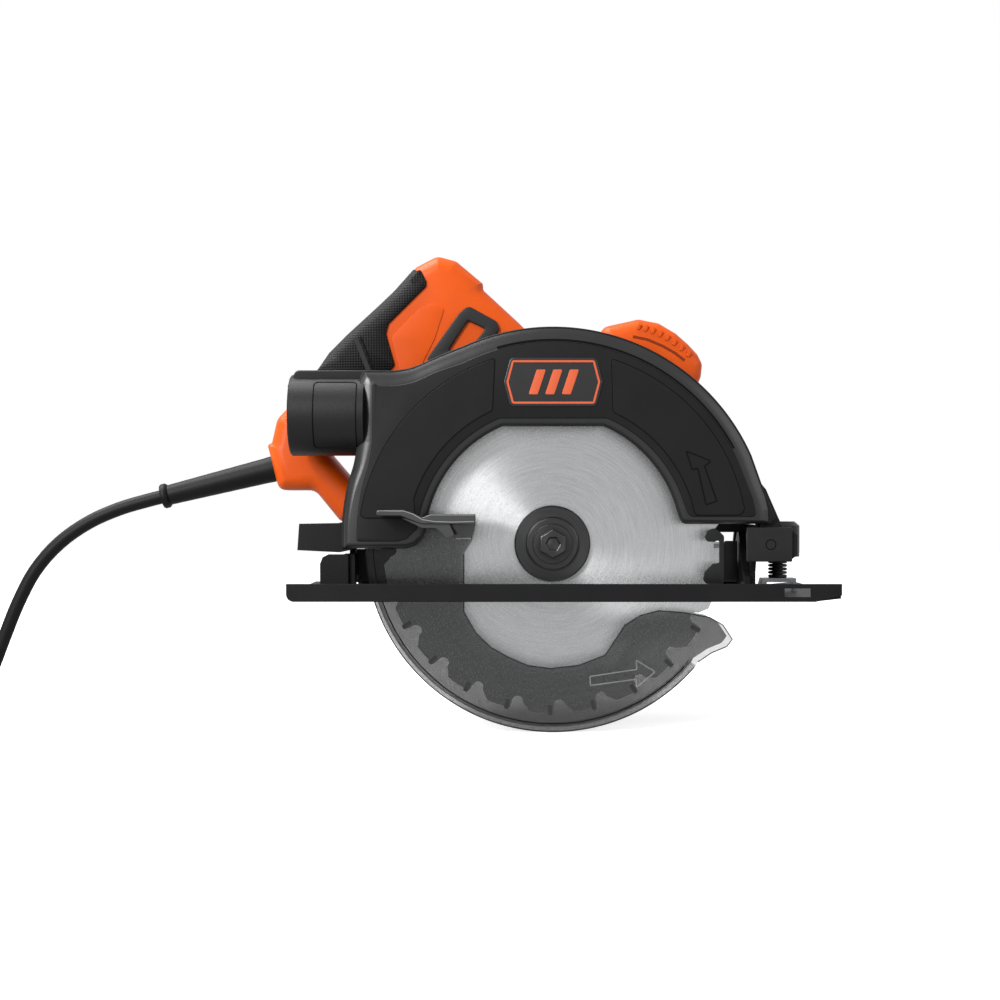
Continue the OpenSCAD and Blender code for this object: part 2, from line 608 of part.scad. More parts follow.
shoe_plate();
front_quadrant();
rear_pivot_bracket();
shoe_rivets();
fence_saddle();
fence_clamp_screw();
fence_clamp_spring();
front_yoke();
rear_yoke();
tilt_rail();
depth_bracket();
bevel_pins();
bevel_bolt();
bevel_knob();
depth_pivot_pin();
depth_clamp_bolt();
depth_lever();
upper_guard();
front_badge();
gear_case();
retaining_ring();
guard_return_spring();
lower_guard();
guard_lever();
saw_blade();
carbide_tips();
outer_flange();
inner_flange();
arbor_bolt();
spindle();
spindle_gear();
spindle_bearings();
bearing_plate();
armature_shaft();
armature_core();
commutator();
cooling_fan();
armature_bearings();
motor_housing();
stator();
carbon_brushes();
brush_caps();
motor_cap();
housing_screws();
handle_right();
handle_left();
handle_screws();
grip_cover();
side_inlay();
front_handle();
trigger();
lock_off_button();
switch_module();
spindle_lock();
strain_relief();
cord_tube();
cord_coil();
coil_tie();
mains_plug();
plug_pins();
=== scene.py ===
import json
import math
import bpy
import bmesh
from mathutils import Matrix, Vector


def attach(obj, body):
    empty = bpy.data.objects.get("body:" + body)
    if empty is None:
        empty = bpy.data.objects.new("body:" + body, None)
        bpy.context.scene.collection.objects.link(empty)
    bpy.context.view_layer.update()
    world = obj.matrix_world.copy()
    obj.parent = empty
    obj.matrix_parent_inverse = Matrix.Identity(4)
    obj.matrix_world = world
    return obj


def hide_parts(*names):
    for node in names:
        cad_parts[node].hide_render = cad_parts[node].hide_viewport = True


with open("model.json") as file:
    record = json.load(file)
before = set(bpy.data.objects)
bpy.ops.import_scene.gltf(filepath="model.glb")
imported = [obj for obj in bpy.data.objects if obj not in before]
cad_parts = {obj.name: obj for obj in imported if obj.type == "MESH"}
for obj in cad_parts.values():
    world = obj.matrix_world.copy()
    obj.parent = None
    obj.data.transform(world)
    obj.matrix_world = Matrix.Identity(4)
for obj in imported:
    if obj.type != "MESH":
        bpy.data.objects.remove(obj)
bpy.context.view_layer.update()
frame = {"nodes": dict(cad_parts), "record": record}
MM = 0.001
scene = bpy.context.scene

# ---- Sizes that several pieces share: millimetres, and x and z from the foot of the blade's axis ----
ARBOR = 30  # height of the blade's axis
AXLE = ((0, 0, ARBOR), (0, 1, 0))  # a place and a direction
PIVOT = (121.5, 29)
GUARD_R = 119
BAND_IN_R = 116
WINDOW_R = 70
LOW_LEFT, LOW_RIGHT = 27.3, 40.7  # heights at which the upper guard's lobes end
LOWER_R, LOWER_IN_R = 103, 100.6
PORT_R, PORT_BORE_R = 22.4, 19.5
PORT_Y, PORT_Z = -30, 101
HANDLE_Y = 12  # the plane where the two handle shells meet
GRIP_SLOPE = 45.6  # degrees
FLOOR_Z = -73.3

# ---- Camera, view and light ----
LENS_MM, SENSOR_MM = 58.38, 36
CAMERA_AT = (-0.02897, -0.930, 0.0541)
cam_data = bpy.data.cameras.new("camera")
cam_data.lens = LENS_MM
cam_data.sensor_width = SENSOR_MM
cam = bpy.data.objects.new("camera", cam_data)
cam.location = CAMERA_AT
cam.rotation_euler = (math.pi / 2, 0, 0)
scene.collection.objects.link(cam)
scene.camera = cam
scene.view_settings.view_transform = "Standard"


def area_light(name, place, target, size, power):
    data = bpy.data.lights.new(name, "AREA")
    data.size = size
    data.energy = power
    lamp = bpy.data.objects.new(name, data)
    lamp.location = place
    aim = Vector(target) - Vector(place)
    lamp.rotation_euler = aim.to_track_quat("-Z", "Y").to_euler()
    scene.collection.objects.link(lamp)


area_light("key", (-0.75, 0.1, 1.25), (-0.02, 0, 0.08), 1.1, 30)
area_light("side", (-0.9, -1.2, 0.5), (-0.1, 0, 0.06), 0.5, 11)
area_light("fill", (1.3, -0.8, 0.6), (0, 0, 0.05), 0.9, 3)
area_light("front", (-1.1, -1.6, 1.1), (0, 0, 0.03), 0.4, 17)


def links(tree, *pairs):
    for a, b in pairs:
        tree.links.new(a, b)


world = bpy.data.worlds.new("studio")
scene.world = world
world.use_nodes = True
wt = world.node_tree
back = wt.nodes["Background"]
back.inputs["Color"].default_value = (1, 1, 1, 1)
back.inputs["Strength"].default_value = 0.62
seen = wt.nodes.new("ShaderNodeBackground")
seen.inputs["Strength"].default_value = 1.0
seen.inputs["Color"].default_value = (1, 1, 1, 1)
ray = wt.nodes.new("ShaderNodeLightPath")
pick = wt.nodes.new("ShaderNodeMixShader")
links(wt, (ray.outputs["Is Camera Ray"], pick.inputs[0]), (back.outputs[0], pick.inputs[1]),
      (seen.outputs[0], pick.inputs[2]), (pick.outputs[0], wt.nodes["World Output"].inputs[0]))


# ---- Materials ----
def srgb(r, g, b):
    return tuple(((v / 255 + 0.055) / 1.055) ** 2.4 if v > 10 else v / 255 / 12.92 for v in (r, g, b))


class Mat:
    """A procedural material: two close colours mixed by noise, roughness by noise, and a fine bump."""

    CLOUDS = 60  # scale of the noise that mixes the two colours

    def __init__(self, name, colour, rough, metal=0.0, vary=0.12, grain=900, bump=0.12, coat=0.0,
                 aniso=0.0, spec=0.5):
        self.mat = bpy.data.materials.new(name)
        self.mat.use_nodes = True
        t = self.tree = self.mat.node_tree
        self.bsdf = t.nodes["Principled BSDF"]
        self.coord = t.nodes.new("ShaderNodeTexCoord")
        self.bsdf.inputs["Metallic"].default_value = metal
        self.bsdf.inputs["Coat Weight"].default_value = coat
        self.bsdf.inputs["Coat Roughness"].default_value = 0.12
        self.bsdf.inputs["Anisotropic"].default_value = aniso
        self.bsdf.inputs["Specular IOR Level"].default_value = spec
        wide = self.noise(self.CLOUDS, 4)
        ramp = t.nodes.new("ShaderNodeValToRGB")
        c = srgb(*colour)
        ramp.color_ramp.elements[0].color = (*[v * (1 - vary) for v in c], 1)
        ramp.color_ramp.elements[0].position = 0.3
        ramp.color_ramp.elements[1].color = (*[min(1, v * (1 + vary)) for v in c], 1)
        ramp.color_ramp.elements[1].position = 0.7
        links(t, (wide.outputs["Fac"], ramp.inputs[0]), (ramp.outputs[0], self.bsdf.inputs["Base Color"]))
        self.ramp = ramp
        spread = t.nodes.new("ShaderNodeMapRange")
        spread.inputs["To Min"].default_value = max(0.02, rough - 0.05)
        spread.inputs["To Max"].default_value = min(1, rough + 0.06)
        fine = self.noise(grain, 3)
        links(t, (fine.outputs["Fac"], spread.inputs["Value"]),
              (spread.outputs[0], self.bsdf.inputs["Roughness"]))
        self.bump = t.nodes.new("ShaderNodeBump")
        self.bump.inputs["Strength"].default_value = bump
        self.bump.inputs["Distance"].default_value = 0.0002
        links(t, (fine.outputs["Fac"], self.bump.inputs["Height"]),
              (self.bump.outputs[0], self.bsdf.inputs["Normal"]))

    def noise(self, scale, detail):
        n = self.tree.nodes.new("ShaderNodeTexNoise")
        n.inputs["Scale"].default_value = scale
        n.inputs["Detail"].default_value = detail
        links(self.tree, (self.coord.outputs["Object"], n.inputs["Vector"]))
        return n

    def soften(self, radius):
        """Rounds the shading of sharp edges by this many metres."""
        b = self.tree.nodes.new("ShaderNodeBevel")
        b.samples = 4
        b.inputs["Radius"].default_value = radius
        links(self.tree, (b.outputs[0], self.bump.inputs["Normal"]))
        return self

    def maths(self, op, a, b=None):
        n = self.tree.nodes.new("ShaderNodeMath")
        n.operation = op
        for i, v in enumerate([a, b]):
            if isinstance(v, (int, float)):
                n.inputs[i].default_value = v
            elif v is not None:
                links(self.tree, (v, n.inputs[i]))
        return n.outputs[0]

    def clear(self, alpha):
        self.bsdf.inputs["Alpha"].default_value = alpha
        return self


def ring_steel(name, colour, rough, aniso, period):
    """Steel ground in circles about the blade's axis."""
    m = Mat(name, colour, rough, metal=1.0, vary=0.13, bump=0.03, aniso=aniso)
    t = m.tree
    place = t.nodes.new("ShaderNodeVectorMath")
    place.operation = "SUBTRACT"
    place.inputs[1].default_value = (0, 0, ARBOR * MM)
    links(t, (m.coord.outputs["Object"], place.inputs[0]))
    turn = t.nodes.new("ShaderNodeVectorMath")
    turn.operation = "CROSS_PRODUCT"
    turn.inputs[0].default_value = (0, 1, 0)
    links(t, (place.outputs[0], turn.inputs[1]), (turn.outputs[0], m.bsdf.inputs["Tangent"]))
    split = t.nodes.new("ShaderNodeSeparateXYZ")
    links(t, (place.outputs[0], split.inputs[0]))
    far = m.maths("SQRT", m.maths("ADD", m.maths("MULTIPLY", split.outputs[0], split.outputs[0]),
                                  m.maths("MULTIPLY", split.outputs[2], split.outputs[2])))
    around = t.nodes.new("ShaderNodeVectorMath")
    around.operation = "NORMALIZE"
    links(t, (place.outputs[0], around.inputs[0]))
    part = t.nodes.new("ShaderNodeSeparateXYZ")
    links(t, (around.outputs[0], part.inputs[0]))
    polar = t.nodes.new("ShaderNodeCombineXYZ")
    streak = 3.5  # how much the lines change on the way round
    for i, v in enumerate((m.maths("MULTIPLY", part.outputs[0], streak),
                           m.maths("MULTIPLY", part.outputs[2], streak), m.maths("MULTIPLY", far, period))):
        links(t, (v, polar.inputs[i]))
    line = t.nodes.new("ShaderNodeTexNoise")
    line.inputs["Scale"].default_value = 1
    line.inputs["Detail"].default_value = 5
    line.inputs["Roughness"].default_value = 0.7
    links(t, (polar.outputs[0], line.inputs["Vector"]), (line.outputs["Fac"], m.ramp.inputs[0]),
          (line.outputs["Fac"], m.bump.inputs["Height"]))
    m.ramp.color_ramp.elements[0].position = 0.35
    m.ramp.color_ramp.elements[1].position = 0.65
    m.bump.inputs["Strength"].default_value = 0.25
    m.bsdf.inputs["Anisotropic Rotation"].default_value = 0.25
    return m


def dotted(m, cell, depth):
    """A moulded grid of small squares, set along the grip."""
    t = m.tree
    turn = t.nodes.new("ShaderNodeMapping")
    turn.inputs["Rotation"].default_value = (0, math.radians(GRIP_SLOPE), 0)
    links(t, (m.coord.outputs["Object"], turn.inputs["Vector"]))
    split = t.nodes.new("ShaderNodeSeparateXYZ")
    links(t, (turn.outputs[0], split.inputs[0]))
    waves = [m.maths("SINE", m.maths("MULTIPLY", split.outputs[i], 2 * math.pi / cell)) for i in (0, 2)]
    height = m.maths("MULTIPLY", waves[0], waves[1])
    m.bump.inputs["Distance"].default_value = depth
    m.bump.inputs["Strength"].default_value = 1
    links(t, (height, m.bump.inputs["Height"]))
    return m


guard_black = Mat("guard_black", (21, 21, 22), 0.45, bump=0.25, grain=1400, spec=0.2)
guard_gloss = Mat("guard_gloss", (27, 27, 28), 0.3, bump=0.1, grain=1400, spec=0.6)
line_black = Mat("line_black", (5, 5, 5), 0.6, spec=0.1)
port_black = Mat("port_black", (20, 20, 21), 0.42, bump=0.3, grain=600, spec=0.32)
smoked = Mat("smoked", (30, 30, 31), 0.14, bump=0.02, spec=0.4).clear(0.4)
smoked_back = Mat("smoked_back", (30, 30, 31), 0.2, bump=0.02, spec=0.4).clear(0.56)
# A light metal for thin strips that are painted highlights along edges.
painted_edge_highlight = Mat("painted_edge_highlight", (150, 150, 151), 0.3, metal=0.5)
smoked_edge = Mat("smoked_edge", (30, 30, 31), 0.2, bump=0.02, spec=0.4).clear(0.75)
lever_gloss = Mat("lever_gloss", (52, 52, 53), 0.08, bump=0.02, coat=0.8)
blade_steel = ring_steel("blade_steel", (214, 215, 216), 0.28, 0.85, 2600)
flange_steel = ring_steel("flange_steel", (76, 76, 77), 0.36, 0.4, 1500)
carbide = Mat("carbide", (150, 151, 153), 0.35, metal=0.9)
dark_steel = Mat("dark_steel", (37, 37, 38), 0.35, metal=0.5).soften(0.0004)
zinc = Mat("zinc", (178, 180, 184), 0.3, metal=1.0, vary=0.1).soften(0.0003)
bearing = Mat("bearing", (190, 192, 195), 0.2, metal=1.0).soften(0.0002)
cast = Mat("cast", (150, 153, 156), 0.5, metal=0.8, bump=0.4, grain=500).soften(0.0006)
copper = Mat("copper", (184, 110, 60), 0.3, metal=1.0)
laminations = Mat("laminations", (110, 112, 116), 0.45, metal=0.8)
brass = Mat("brass", (196, 160, 84), 0.3, metal=1.0)
carbon = Mat("carbon", (44, 44, 46), 0.7)
orange = Mat("orange", (212, 80, 4), 0.4, vary=0.04, bump=0.05, grain=1100, spec=0.25).soften(0.0005)
black_plastic = Mat("black_plastic", (20, 20, 21), 0.4, bump=0.25, grain=1000, spec=0.25).soften(0.0005)
rubber = dotted(Mat("rubber", (17, 17, 18), 0.62, bump=0.2, spec=0.25), 0.0021, 0.00016)
rubber_smooth = Mat("rubber_smooth", (26, 26, 27), 0.5, bump=0.3, grain=1500, spec=0.35)
shoe_coat = Mat("shoe_coat", (20, 20, 21), 0.42, bump=0.3, grain=1300, spec=0.2).soften(0.0006)
orange_slot_shade = Mat("orange_slot_shade", (128, 44, 4), 0.5, vary=0.05, spec=0.2)
badge_line = Mat("badge_line", (206, 92, 56), 0.4, vary=0.05, spec=0.3)
cord_rubber = Mat("cord_rubber", (12, 12, 13), 0.5, bump=0.2, grain=1200, spec=0.2)

FINISH = {
    "shoe_coating": shoe_coat, "guard_black": guard_black, "smoked": smoked, "blade_steel": blade_steel,
    "carbide": carbide, "dark_steel": dark_steel, "zinc": zinc, "bearing_steel": bearing, "cast_alloy": cast,
    "laminations": laminations, "copper": copper, "brass": brass, "carbon": carbon, "orange": orange,
    "black_plastic": black_plastic, "grip_rubber": rubber, "badge": badge_line, "cord_rubber": cord_rubber,
}

# What a piece rides on, its look and a slot name from the record.
GUARD = ("saw_body", guard_black, "guard_black")
GLOSS = ("saw_body", guard_gloss, "guard_black")
GUARD_DARK_LINE = ("saw_body", line_black, "guard_black")
PORT_SKIN = ("saw_body", port_black, "guard_black")
BADGE_FIELD = ("saw_body", guard_gloss, "badge")
BADGE = ("saw_body", badge_line, "badge")
CORD_SKIN = ("saw_body", cord_rubber, "cord_rubber")
ORANGE = ("saw_body", orange, "orange")
SLOT_SHADE_ORANGE = ("saw_body", orange_slot_shade, "orange")
GRIP = ("saw_body", rubber, "grip_rubber")
GRIP_SMOOTH = ("saw_body", rubber_smooth, "grip_rubber")
GRIP_GROOVE_SHADE = ("saw_body", line_black, "grip_rubber")
SMOKED = ("swing_guard", smoked, "smoked")
SMOKED_BACK = ("swing_guard", smoked_back, "smoked")
SMOKED_EDGE = ("swing_guard", smoked_edge, "smoked")
SMOKED_SHADE_LINE = ("swing_guard", line_black, "smoked")
SMOKED_PAINTED_HIGHLIGHT = ("swing_guard", painted_edge_highlight, "smoked")
LEVER_SKIN = ("swing_guard", lever_gloss, "smoked")
CLAMP = ("blade_group", flange_steel, "dark_steel")
BRACKET = ("carriage", dark_steel, "dark_steel")
BRACKET_DARK_LINE = ("carriage", line_black, "dark_steel")


# ---- Shapes ----
def fresh(name, verts, faces, body, material, slot, sharp=32):
    """A piece from its corners, in millimetres, and its faces."""
    mesh = bpy.data.meshes.new(name)
    mesh.from_pydata([Vector(v) * MM for v in verts], [], faces)
    bm = bmesh.new()
    bm.from_mesh(mesh)
    bmesh.ops.remove_doubles(bm, verts=bm.verts, dist=1e-6)
    bmesh.ops.recalc_face_normals(bm, faces=bm.faces)
    bm.to_mesh(mesh)
    bm.free()
    return place(name, mesh, body, material, slot, sharp)


def place(name, mesh, body, material, slot, sharp=32):
    """Puts a mesh in the scene, smooth but for edges over sharp degrees, riding on its CAD body."""
    mesh.shade_smooth()
    mesh.set_sharp_from_angle(angle=math.radians(sharp))
    piece = bpy.data.objects.new(name, mesh)
    scene.collection.objects.link(piece)
    mesh.materials.clear()
    mesh.materials.append(material.mat)
    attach(piece, body)
    return piece


def arc(cx, cz, r, a0, a1, n=24):
    """Points on a circle from a0 to a1 degrees."""
    return [(cx + r * math.cos(math.radians(a0 + (a1 - a0) * i / n)),
             cz + r * math.sin(math.radians(a0 + (a1 - a0) * i / n))) for i in range(n + 1)]


def rounded(points, r, n=5):
    """The polygon with its corners rounded; a point may carry its own radius as a third number."""
    out = []
    k = len(points)
    for i in range(k):
        p, a, b = (Vector(points[j % k][:2]) for j in (i, i - 1, i + 1))
        want = points[i][2] if len(points[i]) > 2 else r
        u, v = (a - p), (b - p)
        lu, lv = u.length, v.length
        if lu < 1e-6 or lv < 1e-6:
            continue
        u, v = u / lu, v / lv
        angle = u.angle(v)
        if want < 0.01 or angle > math.radians(176):
            out.append(tuple(p))
            continue
        cut = min(want / math.tan(angle / 2), 0.46 * lu, 0.46 * lv)
        for j in range(n + 1):
            t = j / n
            q = (p + u * cut) * (1 - t) ** 2 + p * 2 * t * (1 - t) + (p + v * cut) * t ** 2
            out.append(tuple(q))
    return out


def between(points, i, f):
    """The place a fraction f of the way from point i to the next, on a smooth line through the points."""
    a, b, c, d = (Vector(points[min(max(j, 0), len(points) - 1)]) for j in (i - 1, i, i + 1, i + 2))
    return 0.5 * (2 * b + (c - a) * f + (2 * a - 5 * b + 4 * c - d) * f * f + (3 * b - a - 3 * c + d) * f ** 3)


def flowing(points, n=4):
    """A smooth line through the points."""
    out = [tuple(between(points, i, k / n)) for i in range(len(points) - 1) for k in range(n)]
    return out + [tuple(points[-1])]


def area(loop):
    """The loop's area, positive when it runs anticlockwise."""
    return sum(a[0] * b[1] - b[0] * a[1] for a, b in zip(loop, loop[1:] + loop[:1])) / 2


def crossing(a, b, c, d):
    """Where segment a-b meets segment c-d, or None."""
    r, q = (b[0] - a[0], b[1] - a[1]), (d[0] - c[0], d[1] - c[1])
    den = r[0] * q[1] - r[1] * q[0]
    if abs(den) < 1e-12:
        return None
    e = (c[0] - a[0], c[1] - a[1])
    t, u = (e[0] * q[1] - e[1] * q[0]) / den, (e[0] * r[1] - e[1] * r[0]) / den
    return (a[0] + t * r[0], a[1] + t * r[1]) if 0 <= t <= 1 and 0 <= u <= 1 else None


def inset(loop, d, weight=None):
    """The loop moved inwards by d, with as many points; a corner that would fold over is drawn together."""
    if abs(d) < 1e-9:
        return list(loop)
    k = len(loop)
    out = []
    for i in range(k):
        a, p, b = (Vector(loop[j % k]) for j in (i - 1, i, i + 1))
        e, f = (p - a), (b - p)
        e = e.normalized() if e.length > 1e-9 else f.normalized()
        f = f.normalized() if f.length > 1e-9 else e
        n1, n2 = Vector((-e.y, e.x)), Vector((-f.y, f.x))
        m = n1 + n2
        m = m.normalized() if m.length > 1e-6 else n1
        w = weight(p.x, p.y) if weight else 1
        out.append(tuple(p + m * (d * w / max(m.dot(n1), 0.5))))
    for i in range(k):
        for m in range(min(22, k - 3), 1, -1):
            j = i + m
            hit = crossing(out[i], out[(i + 1) % k], out[j % k], out[(j + 1) % k])
            if hit:
                for g in range(i + 1, j + 1):
                    out[g % k] = hit
                break
    return out


def lofted(name, outer, holes, profile, body, material, slot, sharp=32, weight=None):
    """A closed body whose outline shrinks along the depth, from (inset, depth) pairs."""
    loops = [outer if area(outer) > 0 else outer[::-1]]
    loops += [h if area(h) < 0 else h[::-1] for h in holes]
    bm = bmesh.new()
    ends = []
    for loop in loops:
        rings = []
        for d, y in profile:
            ring = []
            for x, z in inset(loop, d, weight):
                same = ring and (ring[-1].co - Vector((x * MM, y * MM, z * MM))).length < 1e-7
                ring.append(ring[-1] if same else bm.verts.new((x * MM, y * MM, z * MM)))
            if (ring[0].co - ring[-1].co).length < 1e-7 and ring[0] != ring[-1]:
                last = ring[-1]
                ring = [ring[0] if v == last else v for v in ring]
                bm.verts.remove(last)
            rings.append(ring)
        for a, b in zip(rings, rings[1:]):
            k = len(a)
            for i in range(k):
                quad = list(dict.fromkeys((a[i], a[(i + 1) % k], b[(i + 1) % k], b[i])))
                if len(quad) > 2:
                    bm.faces.new(quad)
        ends.append((rings[0], rings[-1]))
    for side in (0, 1):
        edges = {}
        for pair in ends:
            ring = pair[side]
            for i in range(len(ring)):
                if ring[i] != ring[(i + 1) % len(ring)]:
                    edges[bm.edges.get((ring[i], ring[(i + 1) % len(ring)]))] = True
        bmesh.ops.triangle_fill(bm, edges=list(edges), use_beauty=True)
    bmesh.ops.recalc_face_normals(bm, faces=bm.faces)
    mesh = bpy.data.meshes.new(name)
    bm.to_mesh(mesh)
    bm.free()
    return place(name, mesh, body, material, slot, sharp)


def soft_edge(y0, y1, b, n=4):
    """Profile of a plate from its back y1 to its face y0 with both edges rounded by b."""
    turn = [math.pi / 2 * i / n for i in range(n + 1)]
    near = [(b * (1 - math.cos(a)), y0 + b * (1 - math.sin(a))) for a in turn]
    far = [(b * (1 - math.cos(a)), y1 - b * (1 - math.sin(a))) for a in turn]
    return far[::-1] + near


def plate(name, outer, y0, y1, bevel, body, material, slot, holes=()):
    """A flat body between the depths y0 and y1."""
    return lofted(name, outer, list(holes), soft_edge(y0, y1, bevel), body, material, slot)


def lathe(name, profile, origin, axis, body, material, slot, sharp=32, steps=64, closed=True):
    """A turned body from (radius, height) pairs about an axis."""
    rot = Vector((0, 0, 1)).rotation_difference(Vector(axis)).to_matrix()
    verts, faces = [], []
    for r, h in profile:
        for i in range(steps):
            a = 2 * math.pi * i / steps
            verts.append(Vector(origin) + rot @ Vector((r * math.cos(a), r * math.sin(a), h)))
    rows = len(profile)
    for j in range(rows if closed else rows - 1):
        for i in range(steps):
            faces.append([j * steps + i, j * steps + (i + 1) % steps,
                          (j + 1) % rows * steps + (i + 1) % steps, (j + 1) % rows * steps + i])
    if not closed:
        faces += [list(range(steps)), list(range((rows - 1) * steps, rows * steps))]
    return fresh(name, verts, faces, body, material, slot, sharp)


def merged(name, pieces, body, material, slot):
    """One piece from several, which are removed."""
    bm = bmesh.new()
    for p in pieces:
        bm.from_mesh(p.data)
        bpy.data.objects.remove(p)
    mesh = bpy.data.meshes.new(name)
    bm.to_mesh(mesh)
    bm.free()
    return place(name, mesh, body, material, slot)


def stroke(name, points, width, y0, y1, body, material, slot, closed=True):
    """A thin raised line that follows the points."""
    points = [p[:2] for p in points]
    k = len(points)
    left, right = [], []
    for i in range(k):
        a = Vector(points[(i - 1) % k] if closed or i else points[0])
        b = Vector(points[(i + 1) % k] if closed or i < k - 1 else points[-1])
        t = (b - a).normalized()
        n = Vector((-t.y, t.x)) * width / 2
        left.append(Vector(points[i]) + n)
        right.append(Vector(points[i]) - n)
    verts, faces = [], []
    for p, q in zip(left, right):
        verts += [(p.x, y1, p.y), (p.x, y0, p.y), (q.x, y0, q.y), (q.x, y1, q.y)]
    for i in range(k if closed else k - 1):
        j = (i + 1) % k
        for c in range(4):
            faces.append([4 * i + c, 4 * i + (c + 1) % 4, 4 * j + (c + 1) % 4, 4 * j + c])
    if not closed:
        faces += [[0, 1, 2, 3], [4 * k - 4, 4 * k - 3, 4 * k - 2, 4 * k - 1]]
    return fresh(name, verts, faces, body, material, slot)


def wire(name, points, r, body, material, slot):
    """A thin round line of radius r, closed, along 3-D points."""
    k = len(points)
    verts, faces = [], []
    for i, p in enumerate(points):
        t = (Vector(points[(i + 1) % k]) - Vector(points[i - 1])).normalized()
        u = t.cross(Vector((0.1, 1, 0.2))).normalized()
        w = t.cross(u)
        for a in [c * math.pi / 3 for c in range(6)]:
            verts.append(Vector(p) + (u * math.cos(a) + w * math.sin(a)) * r)
        j = (i + 1) % k
        faces += [[6 * i + c, 6 * i + (c + 1) % 6, 6 * j + (c + 1) % 6, 6 * j + c] for c in range(6)]
    return fresh(name, verts, faces, body, material, slot, sharp=180)


# ---- Cord: route, coil and plug ----
ROUTE = [(-225, 12, 56), (-233, 12, 54), (-250, 12, 49), (-268, 12, 41), (-285, 12, 29), (-299, 12, 13),
         (-309, 12, -6), (-317, 12, -26), (-325, 12, -46), (-335, 11, -60), (-348, 7, -67), (-362, 0, -69),
         (-376, -8, -69), (-390, -14, -69), (-403, -15, -69)]
CORD_D = 8
COIL = (-404, 40)  # the coil's middle
COIL_OUT, COIL_IN = 55, 41  # its outermost and innermost turn
LAYER_Z = (-69, -61, -53)
LAYER = 630  # degrees wound in each layer
RISE = 90  # degrees in which the cord climbs to the next layer
COIL_STEP = 8
LEAVE_R = 34  # radius of the bend with which the cord leaves the coil
TAIL_LEVEL, TAIL_RISE = 9, 118  # lengths at the plug: level, and climbing before it
PLUG_Z = -36


def coil_point(phi):
    """The place on the coil after phi degrees: a layer winds inwards or outwards, and the next lies on it."""
    layer = min(int(phi // LAYER), 2)
    f = phi / LAYER - layer
    r = COIL_OUT + (COIL_IN - COIL_OUT) * (f if layer != 1 else 1 - f)
    z = LAYER_Z[0]
    for k in (1, 2):
        s = min(max((phi - k * LAYER) / RISE + 0.5, 0), 1)
        z += (LAYER_Z[k] - LAYER_Z[k - 1]) * s * s * (3 - 2 * s)
    a = math.radians(-90 - phi)
    return Vector((COIL[0] + r * math.cos(a), COIL[1] + r * math.sin(a), z))


centre = [between(ROUTE, i, k * 0.25) for i in range(len(ROUTE) - 1) for k in range(4)]
centre += [coil_point(p) for p in range(2, 3 * LAYER, COIL_STEP)]
for k in range(1, 13):
    a = math.radians(180 - 7.5 * k)
    centre.append(Vector((COIL[0] - COIL_IN + LEAVE_R + LEAVE_R * math.cos(a),
                          COIL[1] + LEAVE_R * math.sin(a), LAYER_Z[2])))
centre.append(centre[-1] + Vector((TAIL_LEVEL, 0, 0)))
rising, done = [], 0
for p, q in zip(centre[::-1], centre[-2::-1]):
    rising.append((p, done))
    done += (p - q).length
    if done > TAIL_LEVEL + TAIL_RISE:
        break
for p, along in rising:
    s = 1 - min(max((along - TAIL_LEVEL) / TAIL_RISE, 0), 1)
    p.z += (PLUG_Z - LAYER_Z[2]) * s * s * (3 - 2 * s)
curve = bpy.data.curves.new("mains_cord", "CURVE")
curve.dimensions = "3D"
curve.bevel_depth = CORD_D / 2 * MM
curve.bevel_resolution = 4
spline = curve.splines.new("POLY")
spline.points.add(len(centre) - 1)
for p, v in zip(spline.points, centre):
    p.co = (*(v * MM), 1)
curve.use_fill_caps = True
mains_cord = bpy.data.objects.new("mains_cord", curve)
scene.collection.objects.link(mains_cord)
curve.materials.append(cord_rubber.mat)
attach(mains_cord, "saw_body")
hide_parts("cord_tube", "cord_coil")

# The strain relief: seven ribs that grow thinner along the cord, and a collar at its end.
relief = [(0, -8), (7.5, -8), (7.5, 1)]
for k in range(7):
    h = 4 + 8 * k
    r = 7.4 - 1.6 * h / 63
    relief += [(r, h), (r - 0.12, h + 3.5), (r - 0.16, h + 7)]
relief += [(5.8, 61.5), (6.6, 62.2), (7.2, 63), (7.2, 65.2), (6.7, 66), (4.1, 66), (4.1, 60), (0, 60)]
BOOT_AT, BOOT_TILT = (-161, 12, 72), math.radians(14)
strain = lathe("strain_relief_boot", relief, BOOT_AT, (-math.cos(BOOT_TILT), 0, -math.sin(BOOT_TILT)),
               *CORD_SKIN, sharp=40, steps=40, closed=False)
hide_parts("strain_relief")

PLUG = [(-395, 59), (-366, 57), (-361, 62), (-361, 86), (-366, 91), (-395, 89)]
plug = lofted("plug_body", rounded(PLUG, 6), [], soft_edge(-49, -23, 5), *CORD_SKIN)
# The plug lies flat: its outline was drawn in x and z, and belongs in x and y.
for v in plug.data.vertices:
    v.co = (v.co.x, v.co.z, v.co.y)
plug.data.flip_normals()
tail = lathe("plug_tail", [(0, 0), (8.5, 0), (8.3, 2), (7.2, 3), (7.8, 4.5), (6.7, 6), (7.1, 8), (6.1, 9.5),
                           (6.4, 11.5), (5.6, 13), (5.6, 15), (5, 16), (4.05, 16), (4.05, 12), (0, 12)],
             (-395, 74, -36), (-1, 0, 0), *CORD_SKIN, steps=32, closed=False)
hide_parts("mains_plug")

# ---- Floor ----
floor_mesh = bpy.data.meshes.new("floor")
bm = bmesh.new()
bmesh.ops.create_grid(bm, x_segments=8, y_segments=8, size=3)
bm.to_mesh(floor_mesh)
bm.free()
floor = bpy.data.objects.new("floor", floor_mesh)
floor.location = (0, 0, FLOOR_Z * MM)
scene.collection.objects.link(floor)
pale = Mat("floor_pale", (250, 250, 250), 0.9, vary=0.005, bump=0.02)
pale.bsdf.inputs["Emission Color"].default_value = (1, 1, 1, 1)
pale.bsdf.inputs["Emission Strength"].default_value = 0.68
floor_mesh.materials.append(pale.mat)
floor.visible_diffuse = False
floor.visible_glossy = False

# ---- Upper guard ----


